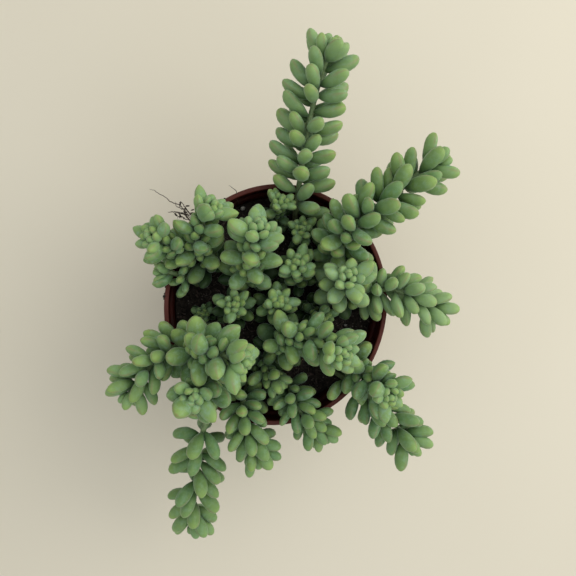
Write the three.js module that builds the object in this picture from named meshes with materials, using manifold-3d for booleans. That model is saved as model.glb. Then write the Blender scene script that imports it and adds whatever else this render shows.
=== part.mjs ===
// A burro's tail, a trailing stonecrop, in a thin plastic nursery pot.
// Millimetres, +Z up. The origin is the middle of the pot's flat underside. +Y points to the longest shoot.
//
// The pot is one thin shell with drainage holes, the soil is one plug that fills it, and every shoot is one
// solid: a bare foot that stands in its own hole in the soil, a stem, and plump leaves set round it by the
// golden angle. Leaves of different shoots never touch: each leaf is swung, lifted or shortened until it is
// clear of what is already there, as leaves in a crowded pot are.
import * as THREE from "three";
import { mergeVertices } from "three/addons/utils/BufferGeometryUtils.js";
import Module from "manifold-3d";

const wasm = await Module();
wasm.setup();

// ---- Driving dimensions ---------------------------------------------------------------------------------

const POT_HEIGHT = 92;
const RIM_RADIUS = 60; // outside of the lip at its top, before the rim is squeezed
const LIP_BOTTOM_RADIUS = 59.2; // and at its lower edge
const WALL_TOP_RADIUS = 57; // outside of the wall just under the lip
const BASE_RADIUS = 41;
const WALL = 1.3;
const LIP_HEIGHT = 12; // the straight band under the rim
const LIP_STEP = 1.8; // how far the inside of the lip stands out from the inside of the wall
const EDGE_EASE = 1; // height of the slopes at the edges of the lip
const FOOT_EASE = 1.5; // slanted edge round the base
const RIM_SQUEEZE = 0.04; // the soft rim is this much narrower one way and this much longer the other
const RIM_LONG_AXIS = -9 * (Math.PI / 180); // turn of the rim's long axis from +Y
const POT_SIDES = 32;
const DRAIN_HOLES = 6;
const DRAIN_RADIUS = 4;
const DRAIN_CIRCLE = 30;
const DRAIN_SIDES = 8;

const SOIL_TOP = 77;
const SOIL_BUMP = 0.9; // the soil's surface rolls up and down by this much
const SOIL_WAVES = [0.21, 0.17]; // radians per mm of that roll, along X and along Y
const SOIL_WAVE_STARTS = [1, -0.4];
const SOIL_EDGE_DROP = 1; // how much lower the soil lies along the wall
const SOIL_RINGS = [0.97, 0.55]; // where the rolling surface has its corners, as shares of its radius
const GAP = 0.3; // between pieces that rest on or in each other
const FOOT_DEPTH = 9; // upright stretch at the bottom of each shoot, all but its top in the soil

const STEM_RADIUS = 1.6;
const STEM_SIDES = 4;
const STEM_SAG = 0.3; // most that a straight stretch of stem strays from the curve
const HOLE_EASE = 0.45; // how much wider than the stem its hole is, corner to corner

const LEAF_ASPECT = 0.54; // width over length
const LEAF_FLATNESS = 0.8; // thickness over width
const LEAF_BEND = 0.2; // how much a leaf curls towards the shoot's tip
const LEAF_SHIFT = 1.3; // above 1, the widest place lies past the middle
const LEAF_BLUNTNESS = 0.75; // below 1, root and tip are rounder
const LEAF_RINGS = [0.34, 0.74]; // where along a leaf its two four-cornered sections are
const RING_PLUMP = 1.12; // makes up for the flat faces between the corners
const ROOT_OFFSET = 0.6; // of a leaf's root point from the middle of its stem, so that its neck is slim
const TIP_MARGIN = 1.5; // how far below the end of its stem the last leaf sits
const TIP_BUD = 0.3; // length of the bud at the end of a stem, over that of a full-grown leaf

const GOLDEN_ANGLE = 137.508;
const SPREAD_ANGLE = 80; // degrees between stem and leaf on the old part of a shoot
const TIP_ANGLE = 18; // and at its tip
const LATE_TURN = 4; // the higher, the nearer to the tip the leaves begin to stand up
const TIP_CROWDING = 1.25; // above 1, leaves are closer together towards the tip
const YOUNGEST = 0.4; // size of the last leaf
const GROWTH = 3; // how soon the ones before it are full-grown
const TURN_SCATTER = 7; // degrees
const ANGLE_SCATTER = 6;
const SIZE_SCATTER = [0.92, 1.06];
const FIRST_SEED = 101;
const SEED_STEP = 37;

const CLEARANCE = 0.5; // between leaves of two shoots
const POT_CLEARANCE = 1.3; // between a leaf and the pot or the soil
const NESTING = 0.25; // share of its radius by which a leaf may press into its neighbour on the same shoot

// Each shoot: the points its stem passes through from the soil up, the length of its stem that bears no
// leaves, the number of its leaves, the length of a full-grown one, and the turn of the lowest in degrees.
const SHOOTS = [
  { name: "shoot_back_long", bare: 10, leaves: 35, leaf: 17.5, turn: 20,
    path: [[10, 41.5, 78], [10, 52.5, 91], [11, 67.5, 99], [13, 84.5, 104], [16.5, 101.5, 109],
      [20.5, 116.5, 114], [25, 127.5, 120]] },
  { name: "shoot_back_right", bare: 9, leaves: 40, leaf: 17, turn: 60,
    path: [[32, 24.5, 78], [32, 30.5, 98], [32, 36.5, 114], [37, 43.5, 121], [47, 50.5, 121],
      [58, 58.5, 118], [69, 67.5, 117], [80.5, 73.5, 118]] },
  { name: "shoot_right", bare: 9, leaves: 22, leaf: 15, turn: 0,
    path: [[42, 5.5, 78], [49, 7.5, 93], [58, 8.5, 101], [68, 4.5, 103], [78, -1.5, 101],
      [87, -6.5, 99]] },
  { name: "shoot_left_front_big", bare: 20, leaves: 22, leaf: 17, turn: 90,
    path: [[-35, -23.5, 78], [-41, -21.5, 106], [-37, -18.5, 123], [-28, -19.5, 131],
      [-17, -22.5, 135]] },
  { name: "shoot_left_front_rosette", bare: 22, leaves: 18, leaf: 16.5, turn: 0,
    path: [[-28, -37.5, 78], [-34, -36.5, 103], [-39, -36, 118], [-41.5, -36.5, 128],
      [-42.5, -37.5, 136]] },
  { name: "shoot_back_middle", bare: 13, leaves: 22, leaf: 16, turn: 40,
    path: [[-14, 13.5, 78], [-15, 19.5, 100], [-14, 26.5, 114], [-13, 33.5, 122], [-11, 40.5, 129]] },
  { name: "shoot_right_front_big", bare: 11, leaves: 24, leaf: 15, turn: 10,
    path: [[2, -23.5, 78], [2, -18.5, 98], [8, -13.5, 112], [17, -15, 118], [24.5, -18, 125],
      [27.5, -20, 133]] },
  { name: "shoot_right_rosette", bare: 14, leaves: 18, leaf: 15, turn: 70,
    path: [[32, 4.5, 78], [32, 9.5, 100], [32, 13.5, 114], [31, 16.5, 122]] },
  { name: "shoot_back_left", bare: 12, leaves: 20, leaf: 14.5, turn: 120,
    path: [[-34, 18.5, 78], [-40, 28.5, 104], [-39, 37.5, 116], [-36, 44.5, 120], [-32, 49.5, 125]] },
  { name: "shoot_left_rosette", bare: 15, leaves: 17, leaf: 13.5, turn: 200,
    path: [[-38, 24.5, 78], [-46, 26.5, 99], [-53, 30.5, 111], [-59, 33.5, 117], [-63, 34.5, 122]] },
  { name: "shoot_right_front_rosette", bare: 10, leaves: 20, leaf: 15.5, turn: 30,
    path: [[36, -28.5, 78], [41, -32.5, 97], [47, -37.5, 108], [51, -40.5, 116], [52, -42.5, 122]] },
  { name: "shoot_right_front_low", bare: 20, leaves: 20, leaf: 16.5, turn: 80,
    path: [[30, -35.5, 78], [38, -40.5, 94], [50, -50.5, 98], [63, -64.5, 95], [74, -78.5, 90]] },
  { name: "shoot_left_front_out", bare: 28, leaves: 17, leaf: 15, turn: 150,
    path: [[-43, -15.5, 78], [-52, -19.5, 104], [-60, -24.5, 112], [-68, -32.5, 113],
      [-75, -44.5, 109]] },
  { name: "shoot_front_left_long", bare: 24, leaves: 28, leaf: 16, turn: 100,
    path: [[-26, -42.5, 78], [-32, -50.5, 95], [-38, -61.5, 98], [-41, -79.5, 84], [-43, -100.5, 71],
      [-45, -118.5, 60], [-44, -131.5, 54]] },
  { name: "shoot_front", bare: 13, leaves: 19, leaf: 14.5, turn: 45,
    path: [[-15, -43.5, 78], [-18, -49.5, 93], [-17, -58.5, 99], [-13, -71.5, 93], [-9, -83.5, 86]] },
  { name: "shoot_front_right", bare: 10, leaves: 17, leaf: 13, turn: 15,
    path: [[7, -40.5, 78], [7, -46.5, 92], [11, -53.5, 98], [19, -61.5, 96], [27.5, -69.5, 90]] },
  { name: "shoot_middle_front_rosette", bare: 11, leaves: 13, leaf: 11.5, turn: 10,
    path: [[-3, -4.5, 78], [-2, 0.5, 95], [0, 3.5, 107]] },
  { name: "shoot_middle_left_rosette", bare: 9, leaves: 12, leaf: 11, turn: 50,
    path: [[-21, -4.5, 78], [-22, -0.5, 92], [-23, 2.5, 104]] },
  { name: "shoot_middle_rosette", bare: 12, leaves: 13, leaf: 11.5, turn: 80,
    path: [[13, 10.5, 78], [10, 17.5, 95], [8, 22.5, 110]] },
  { name: "shoot_middle_front", bare: 7, leaves: 12, leaf: 12, turn: 0,
    path: [[-7, -29.5, 78], [-8, -30.5, 88], [-4, -36.5, 95], [2, -43.5, 97]] },
  { name: "shoot_back_small", bare: 6, leaves: 10, leaf: 9.5, turn: 30,
    path: [[1, 42.5, 78], [0, 48.5, 92], [1, 54.5, 103]] },
  { name: "shoot_middle_back_small", bare: 6, leaves: 9, leaf: 10, turn: 90,
    path: [[16, 32.5, 78], [13, 37.5, 90], [11, 40.5, 100]] },
  { name: "shoot_left_sprig", bare: 12, leaves: 9, leaf: 11, turn: 60,
    path: [[-41, 10.5, 78], [-48, 15.5, 94], [-55, 17.5, 98], [-62, 17.5, 97]] },
  { name: "shoot_right_low", bare: 5, leaves: 6, leaf: 11, turn: 0,
    path: [[19, -2.5, 78], [21, -5.5, 90], [25, -6.5, 98]] },
  { name: "shoot_soil_rosette", bare: 2, leaves: 7, leaf: 7.5, turn: 0,
    path: [[-37, -7.5, 78], [-38, -5.5, 83], [-39, -3.5, 89]] },
];

const POT_COLOUR = { color: 0x6e3526, roughness: 0.5, metalness: 0 };
const SOIL_COLOUR = { color: 0x1f1913, roughness: 0.95, metalness: 0 };
const LEAF_COLOUR = { color: 0x7c9a66, roughness: 0.55, metalness: 0 };

// ---- Small helpers --------------------------------------------------------------------------------------

const radians = (degrees) => (degrees * Math.PI) / 180;
const mix = (a, b, share) => a + (b - a) * share;
const vector = (p) => new THREE.Vector3(...p);

const RANDOM_FACTOR = 16807;
const RANDOM_RANGE = 2147483647;

// A seeded random number from 0 to 1, so that every build draws the same ones.
function seededRandom(seed) {
  let state = seed;
  return () => {
    state = (state * RANDOM_FACTOR) % RANDOM_RANGE;
    return state / RANDOM_RANGE;
  };
}

// A closed solid through a row of sections. A section is a list of points, or one point where the solid
// ends in a tip.
function loft(sections) {
  const positions = [];
  const face = (...corners) => corners.forEach((p) => positions.push(p.x, p.y, p.z));
  const first = sections[0];
  const last = sections[sections.length - 1];
  for (let i = 1; i < first.length - 1; i++) face(first[0], first[i + 1], first[i]);
  for (let i = 1; i < last.length - 1; i++) face(last[0], last[i], last[i + 1]);
  for (let s = 0; s + 1 < sections.length; s++) {
    const [low, high] = [sections[s], sections[s + 1]];
    const sides = Math.max(low.length, high.length);
    for (let i = 0; i < sides; i++) {
      const j = (i + 1) % sides;
      if (low.length > 1) face(low[i], low[j], high[high.length > 1 ? j : 0]);
      if (high.length > 1) face(low[low.length > 1 ? i : 0], high[j], high[i]);
    }
  }
  return new THREE.BufferGeometry().setAttribute("position", new THREE.Float32BufferAttribute(positions, 3));
}

// A geometry as a manifold-3d solid, with shared corners merged and collapsed faces dropped.
function solidOf(geometry) {
  const bare = new THREE.BufferGeometry().setAttribute("position", geometry.getAttribute("position"));
  if (geometry.index) bare.setIndex(geometry.index);
  const merged = mergeVertices(bare, 1e-4);
  const corners = [];
  for (let i = 0; i < merged.index.count; i += 3) {
    const [a, b, c] = [0, 1, 2].map((k) => merged.index.getX(i + k));
    if (a !== b && b !== c && a !== c) corners.push(a, b, c);
  }
  return new wasm.Manifold(
    new wasm.Mesh({
      numProp: 3,
      vertProperties: merged.getAttribute("position").array,
      triVerts: new Uint32Array(corners),
    }),
  );
}

function meshOf(name, solid, colour) {
  const { vertProperties, triVerts } = solid.getMesh();
  const geometry = new THREE.BufferGeometry()
    .setAttribute("position", new THREE.BufferAttribute(vertProperties, 3))
    .setIndex(new THREE.BufferAttribute(triVerts, 1));
  geometry.computeVertexNormals();
  const mesh = new THREE.Mesh(geometry, new THREE.MeshStandardMaterial(colour));
  mesh.name = name;
  return mesh;
}

// ---- Pot ------------------------------------------------------------------------------------------------

const LIP_BOTTOM = POT_HEIGHT - LIP_HEIGHT;
const LIP_INSIDE = WALL_TOP_RADIUS - WALL + LIP_STEP;

// Radius of the round pot's outside at a height.
function potOutside(z) {
  if (z > LIP_BOTTOM) return mix(LIP_BOTTOM_RADIUS, RIM_RADIUS, (z - LIP_BOTTOM) / LIP_HEIGHT);
  return mix(BASE_RADIUS, WALL_TOP_RADIUS, Math.max(z, 0) / LIP_BOTTOM);
}

// Radius of its inside.
const potInside = (z) => (z > LIP_BOTTOM ? LIP_INSIDE : potOutside(z) - WALL);

// The soft plastic is pushed out of round towards the rim: how much the two axes change at a height.
const squeezeAt = (z) => RIM_SQUEEZE * Math.min(Math.max(z / POT_HEIGHT, 0), 1);

function squeeze(geometry) {
  const at = geometry.getAttribute("position");
  const p = new THREE.Vector3();
  const axis = new THREE.Vector3(0, 0, 1);
  for (let i = 0; i < at.count; i++) {
    p.fromBufferAttribute(at, i).applyAxisAngle(axis, -RIM_LONG_AXIS);
    p.x *= 1 - squeezeAt(p.z);
    p.y *= 1 + squeezeAt(p.z);
    p.applyAxisAngle(axis, RIM_LONG_AXIS);
    at.setXYZ(i, p.x, p.y, p.z);
  }
  return geometry;
}

// Distance of a point from the pot's axis, measured in the pot as it was before the squeeze.
function roundRadius(p) {
  const [c, s] = [Math.cos(-RIM_LONG_AXIS), Math.sin(-RIM_LONG_AXIS)];
  const x = (p.x * c - p.y * s) / (1 - squeezeAt(p.z));
  const y = (p.x * s + p.y * c) / (1 + squeezeAt(p.z));
  return Math.hypot(x, y);
}

function makePot() {
  const profile = [
    [0, 0],
    [BASE_RADIUS - FOOT_EASE, 0],
    [BASE_RADIUS, FOOT_EASE],
    [WALL_TOP_RADIUS, LIP_BOTTOM],
    [LIP_BOTTOM_RADIUS, LIP_BOTTOM + EDGE_EASE],
    [RIM_RADIUS, POT_HEIGHT - EDGE_EASE],
    [RIM_RADIUS - WALL / 2, POT_HEIGHT],
    [LIP_INSIDE, POT_HEIGHT - EDGE_EASE],
    [LIP_INSIDE, LIP_BOTTOM + EDGE_EASE],
    [WALL_TOP_RADIUS - WALL, LIP_BOTTOM],
    [BASE_RADIUS - WALL, WALL],
    [0, WALL],
  ].map(([r, z]) => new THREE.Vector2(r, z));
  const shell = new THREE.LatheGeometry(profile, POT_SIDES).rotateX(Math.PI / 2);
  const drillLength = 6 * WALL;
  let pot = solidOf(squeeze(shell));
  for (let i = 0; i < DRAIN_HOLES; i++) {
    const angle = (i / DRAIN_HOLES) * 2 * Math.PI;
    const drill = new THREE.CylinderGeometry(DRAIN_RADIUS, DRAIN_RADIUS, drillLength, DRAIN_SIDES);
    drill.rotateX(Math.PI / 2);
    drill.translate(DRAIN_CIRCLE * Math.cos(angle), DRAIN_CIRCLE * Math.sin(angle), 0);
    pot = pot.subtract(solidOf(drill));
  }
  return meshOf("pot", pot, POT_COLOUR);
}

// ---- Soil -----------------------------------------------------------------------------------------------

function soilHeight(x, y) {
  const rollX = Math.sin(x * SOIL_WAVES[0] + SOIL_WAVE_STARTS[0]);
  const rollY = Math.cos(y * SOIL_WAVES[1] + SOIL_WAVE_STARTS[1]);
  return SOIL_TOP + SOIL_BUMP * rollX * rollY;
}

function makeSoil(holes) {
  const ring = (radius, height) =>
    Array.from({ length: POT_SIDES }, (_, i) => {
      const angle = (i / POT_SIDES) * 2 * Math.PI;
      const [x, y] = [radius * Math.cos(angle), radius * Math.sin(angle)];
      return new THREE.Vector3(x, y, height ?? soilHeight(x, y));
    });
  const edge = potInside(SOIL_TOP - 2 * SOIL_EDGE_DROP) - GAP;
  const sections = [
    ring(BASE_RADIUS - WALL - GAP, WALL + GAP),
    ring(edge, SOIL_TOP - SOIL_EDGE_DROP),
    ...SOIL_RINGS.map((share) => ring(share * edge)),
    [new THREE.Vector3(0, 0, soilHeight(0, 0))],
  ];
  let soil = solidOf(squeeze(loft(sections)));
  for (const hole of holes) soil = soil.subtract(hole);
  return meshOf("soil", soil, SOIL_COLOUR);
}

// ---- Stems ----------------------------------------------------------------------------------------------

const SAMPLES_PER_SPAN = 16;
const CURVE_TENSION = 0.5;

// A stem's line: an upright foot in the soil, then a smooth curve through the path's points, with a frame
// carried along it.
function stemLine(path) {
  const curve = new THREE.CatmullRomCurve3(path.map(vector), false, "catmullrom", CURVE_TENSION);
  const foot = vector(path[0]).setZ(path[0][2] - FOOT_DEPTH);
  const at = [foot, ...curve.getPoints(SAMPLES_PER_SPAN * (path.length - 1))];
  const reach = [0];
  for (let i = 1; i < at.length; i++) reach.push(reach[i - 1] + at[i].distanceTo(at[i - 1]));
  const side = new THREE.Vector3(1, 0, 0);
  const frames = at.map((p, i) => {
    const before = at[Math.max(i - 1, 0)];
    const after = at[i < 2 ? 1 : Math.min(i + 1, at.length - 1)];
    const tangent = after.clone().sub(before).normalize();
    side.addScaledVector(tangent, -side.dot(tangent)).normalize();
    return { tangent, side: side.clone() };
  });
  return { at, reach, frames, length: reach[reach.length - 1] };
}

// The point and frame at a distance along a line.
function along(line, distance) {
  let i = 1;
  while (i < line.at.length - 1 && line.reach[i] < distance) i++;
  const share = (distance - line.reach[i - 1]) / (line.reach[i] - line.reach[i - 1]);
  const tangent = line.frames[i - 1].tangent.clone().lerp(line.frames[i].tangent, share).normalize();
  const side = line.frames[i - 1].side.clone().lerp(line.frames[i].side, share);
  side.addScaledVector(tangent, -side.dot(tangent)).normalize();
  return {
    point: line.at[i - 1].clone().lerp(line.at[i], share),
    tangent,
    side,
    front: tangent.clone().cross(side),
  };
}

function tube(line, stations, radius) {
  return stations.map((distance) => {
    const { point, side, front } = along(line, distance);
    return Array.from({ length: STEM_SIDES }, (_, i) => {
      const angle = (i / STEM_SIDES) * 2 * Math.PI;
      return point
        .clone()
        .addScaledVector(side, radius * Math.cos(angle))
        .addScaledVector(front, radius * Math.sin(angle));
    });
  });
}

// Where the straight stretches of a stem meet: closer together where it bends.
function stemStations(line) {
  const stations = [0, FOOT_DEPTH];
  const nearest = new THREE.Vector3();
  let from = 1;
  for (let to = from + 2; to < line.at.length; to++) {
    const chord = new THREE.Line3(line.at[from], line.at[to]);
    const strays = line.at.slice(from + 1, to).some((p) =>
      chord.closestPointToPoint(p, true, nearest).distanceTo(p) > STEM_SAG);
    if (!strays) continue;
    from = to - 1;
    stations.push(line.reach[from]);
  }
  return [...stations, line.length - STEM_RADIUS];
}

function stemSolid(line) {
  const sections = tube(line, stemStations(line), STEM_RADIUS);
  return solidOf(loft([...sections, [along(line, line.length).point]]));
}

// What is cut out of the soil for a stem to stand in.
function footHole(line) {
  const [low, high] = tube(line, [0, FOOT_DEPTH], STEM_RADIUS + HOLE_EASE);
  low.forEach((p) => p.setZ(p.z - GAP));
  high.forEach((p) => p.setZ(p.z + SOIL_BUMP + GAP));
  return solidOf(loft([low, high]));
}

// ---- Leaves ---------------------------------------------------------------------------------------------

// Half-width of a leaf along its length, as a share of its widest: narrow root, widest past the middle,
// blunt tip.
const leafShape = (t) => Math.sin(Math.PI * t ** LEAF_SHIFT) ** LEAF_BLUNTNESS;

// A point on a leaf's curved midline.
const leafMiddle = (leaf, t) =>
  leaf.root
    .clone()
    .addScaledVector(leaf.out, leaf.length * t)
    .addScaledVector(leaf.up, leaf.length * LEAF_BEND * t * t);

function leafSolid(leaf) {
  const rings = LEAF_RINGS.map((t) => {
    const middle = leafMiddle(leaf, t);
    const wide = (leaf.width / 2) * leafShape(t) * RING_PLUMP;
    const thick = wide * LEAF_FLATNESS;
    return [
      middle.clone().addScaledVector(leaf.across, wide),
      middle.clone().addScaledVector(leaf.up, thick),
      middle.clone().addScaledVector(leaf.across, -wide),
      middle.clone().addScaledVector(leaf.up, -thick),
    ];
  });
  return solidOf(loft([[leaf.root], ...rings, [leafMiddle(leaf, 1)]]));
}

// A leaf on a line: where it sits, how far round the stem and how steeply it stands, and how long it is.
function leafOn(line, distance, turn, angle, length) {
  const { point, tangent, side, front } = along(line, distance);
  const radial = side.clone().multiplyScalar(Math.cos(turn)).addScaledVector(front, Math.sin(turn));
  const out = tangent.clone().multiplyScalar(Math.cos(angle)).addScaledVector(radial, Math.sin(angle));
  const across = tangent.clone().cross(radial).normalize();
  const up = out.clone().cross(across);
  const root = point.clone().addScaledVector(radial, ROOT_OFFSET);
  return { root, out, across, up, length, width: length * LEAF_ASPECT };
}

// Balls that fill a leaf, for telling how far it is from anything else.
const BALL_PLACES = [0.22, 0.36, 0.5, 0.64, 0.77, 0.89];
const leafBalls = (leaf) =>
  BALL_PLACES.map((t) => ({ at: leafMiddle(leaf, t), radius: (leaf.width / 2) * leafShape(t) }));

// Distance from a ball's skin to the pot or to the soil, whichever is nearer.
function gapToPot({ at, radius }) {
  const r = roundRadius(at);
  const soil = r < potInside(SOIL_TOP) ? at.z - (SOIL_TOP + SOIL_BUMP) : at.z;
  const aboveRim = Math.hypot(r - LIP_BOTTOM_RADIUS, at.z - POT_HEIGHT) - EDGE_EASE;
  const besideWall = Math.max(r - potOutside(at.z), potInside(at.z) - r);
  return Math.min(soil, at.z > POT_HEIGHT ? aboveRim : besideWall) - radius;
}

// The ways a leaf can give way, from none to the most, with how unlike its free place each one is.
const SHORTENING_STRAIN = 6;
const TURNING_STRAIN = 1 / 40; // a degree
const YIELDS = [];
for (const size of [1, 0.86, 0.72, 0.58])
  for (const swing of [0, -12, 12, -24, 24])
    for (const lift of [0, -14, 14, -28]) {
      const turned = Math.abs(swing) + Math.abs(lift);
      YIELDS.push({ size, swing, lift, strain: (1 - size) * SHORTENING_STRAIN + turned * TURNING_STRAIN });
    }

// Sets a leaf clear of other shoots and least in the way of its own, or gives null if nowhere is clear.
function settleLeaf(line, free, others, own) {
  let best = null;
  for (const { size, swing, lift, strain } of YIELDS) {
    const [turn, angle] = [free.turn + radians(swing), free.angle + radians(lift)];
    const leaf = leafOn(line, free.distance, turn, angle, free.length * size);
    const balls = leafBalls(leaf);
    if (balls.some((ball) => gapToPot(ball) < POT_CLEARANCE)) continue;
    const blocked = balls.some((ball) =>
      others.some((other) => ball.at.distanceTo(other.at) < ball.radius + other.radius + CLEARANCE));
    if (blocked) continue;
    let press = 0;
    for (const ball of balls.slice(1))
      for (const other of own) {
        const deep = ball.radius + other.radius - ball.at.distanceTo(other.at);
        press += Math.max(deep - NESTING * Math.min(ball.radius, other.radius), 0);
      }
    const score = strain + press;
    if (!best || score < best.score) best = { score, leaf, balls };
  }
  return best;
}

// The free places of a shoot's leaves, from the lowest to the tip: small and close together at the tip.
function freeLeaves(shoot, line, random) {
  const scatter = (most) => mix(-most, most, random());
  return Array.from({ length: shoot.leaves }, (_, i) => {
    const share = (i + 0.5) / shoot.leaves;
    const start = FOOT_DEPTH + shoot.bare;
    const youth = Math.min(1, YOUNGEST + GROWTH * (1 - share));
    return {
      distance: mix(start, line.length - TIP_MARGIN, 1 - (1 - share) ** TIP_CROWDING),
      turn: radians(shoot.turn + i * GOLDEN_ANGLE + scatter(TURN_SCATTER)),
      angle: radians(mix(SPREAD_ANGLE, TIP_ANGLE, share ** LATE_TURN) + scatter(ANGLE_SCATTER)),
      length: shoot.leaf * youth * mix(...SIZE_SCATTER, random()),
    };
  });
}

// ---- The plant ------------------------------------------------------------------------------------------

const lines = SHOOTS.map((shoot) => stemLine(shoot.path));

// Balls along every stem, which leaves keep clear of.
const stemBalls = lines.map((line, owner) =>
  line.at.filter((p) => p.z > SOIL_TOP).map((at) => ({ at, radius: STEM_RADIUS, owner })));

const settled = []; // the balls of the leaves that are in place
const plant = SHOOTS.map((shoot, owner) => {
  const line = lines[owner];
  const random = seededRandom(FIRST_SEED + SEED_STEP * owner);
  const others = [...settled, ...stemBalls.flat().filter((ball) => ball.owner !== owner)];
  const own = [];
  const solids = [stemSolid(line)];
  for (const free of freeLeaves(shoot, line, random)) {
    const found = settleLeaf(line, free, others, own);
    if (!found) continue;
    solids.push(leafSolid(found.leaf));
    own.push(...found.balls.slice(1));
    settled.push(...found.balls);
  }
  solids.push(leafSolid(leafOn(line, line.length - TIP_MARGIN, 0, 0, shoot.leaf * TIP_BUD)));
  return meshOf(shoot.name, wasm.Manifold.union(solids), LEAF_COLOUR);
});

const group = new THREE.Group();
group.add(makePot(), makeSoil(lines.map(footHole)), ...plant);

export default group;
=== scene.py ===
# Looks of a burro's tail, a trailing stonecrop, in a thin plastic nursery pot.
#
# The placing of the shoots and their leaves repeats the rule of the CAD source, so each fine leaf stands
# where its plain one stands. The gaps between them are then filled with more leaves, the tips with buds, and
# the soil and the rim with crumbs, fibres and other small litter. Everything is worked out in millimetres
# and scaled when it is made.
import math
from types import SimpleNamespace

import bpy
import numpy as np
from mathutils import Matrix, Vector, geometry, noise


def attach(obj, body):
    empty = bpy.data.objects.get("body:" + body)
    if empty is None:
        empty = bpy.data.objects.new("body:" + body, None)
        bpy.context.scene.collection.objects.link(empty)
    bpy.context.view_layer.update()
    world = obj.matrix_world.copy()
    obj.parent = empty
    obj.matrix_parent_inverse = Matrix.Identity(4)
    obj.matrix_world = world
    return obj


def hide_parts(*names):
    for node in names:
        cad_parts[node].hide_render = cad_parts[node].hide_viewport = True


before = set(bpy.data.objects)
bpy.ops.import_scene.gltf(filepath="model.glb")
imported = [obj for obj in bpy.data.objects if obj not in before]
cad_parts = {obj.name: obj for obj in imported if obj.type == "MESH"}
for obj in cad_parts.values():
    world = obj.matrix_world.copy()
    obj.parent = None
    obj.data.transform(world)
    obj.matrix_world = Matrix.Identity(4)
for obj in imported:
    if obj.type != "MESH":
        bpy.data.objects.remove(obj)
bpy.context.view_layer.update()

# ---- Driving dimensions, in mm, as in the CAD source ----

POT_HEIGHT = 92
RIM_RADIUS = 60
BASE_RADIUS = 41
WALL = 1.3
LIP_HEIGHT = 12
LIP_STEP = 1.8
WALL_TOP_RADIUS = 57
LIP_BOTTOM_RADIUS = 59.2
LIP_BOTTOM = POT_HEIGHT - LIP_HEIGHT
EDGE_EASE = 1
RIM_SQUEEZE = 0.04
RIM_LONG_AXIS = math.radians(-9)
DRAIN_HOLES = 6
DRAIN_RADIUS = 4
DRAIN_CIRCLE = 30

SOIL_TOP = 77
SOIL_BUMP = 0.9
SOIL_WAVES = (0.21, 0.17)
SOIL_WAVE_STARTS = (1, -0.4)
GAP = 0.3
FOOT_DEPTH = 9
STEM_RADIUS = 1.6
TIP_MARGIN = 1.5  # how far below the end of its stem the last leaf sits

LEAF_ASPECT = 0.54  # width over length
LEAF_BEND = 0.2  # how much a leaf curls towards the shoot's tip
LEAF_SHIFT = 1.3
LEAF_BLUNTNESS = 0.75
ROOT_OFFSET = 0.6

GOLDEN_ANGLE = 137.508
SPREAD_ANGLE = 80  # degrees between stem and leaf on the old part of a shoot
TIP_ANGLE = 18  # and at its tip
LATE_TURN = 4
TIP_CROWDING = 1.25
YOUNGEST = 0.4
GROWTH = 3
TURN_SCATTER = 7
ANGLE_SCATTER = 6
SIZE_SCATTER = (0.92, 1.06)
FIRST_SEED = 101
SEED_STEP = 37
RANDOM_FACTOR = 16807
RANDOM_RANGE = 2147483647

CLEARANCE = 0.5  # between leaves of two shoots
POT_CLEARANCE = 1.3
NESTING = 0.25  # share of its radius by which a leaf may press into its neighbour
SHORTENING_STRAIN = 6
TURNING_STRAIN = 1 / 40  # a degree

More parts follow.
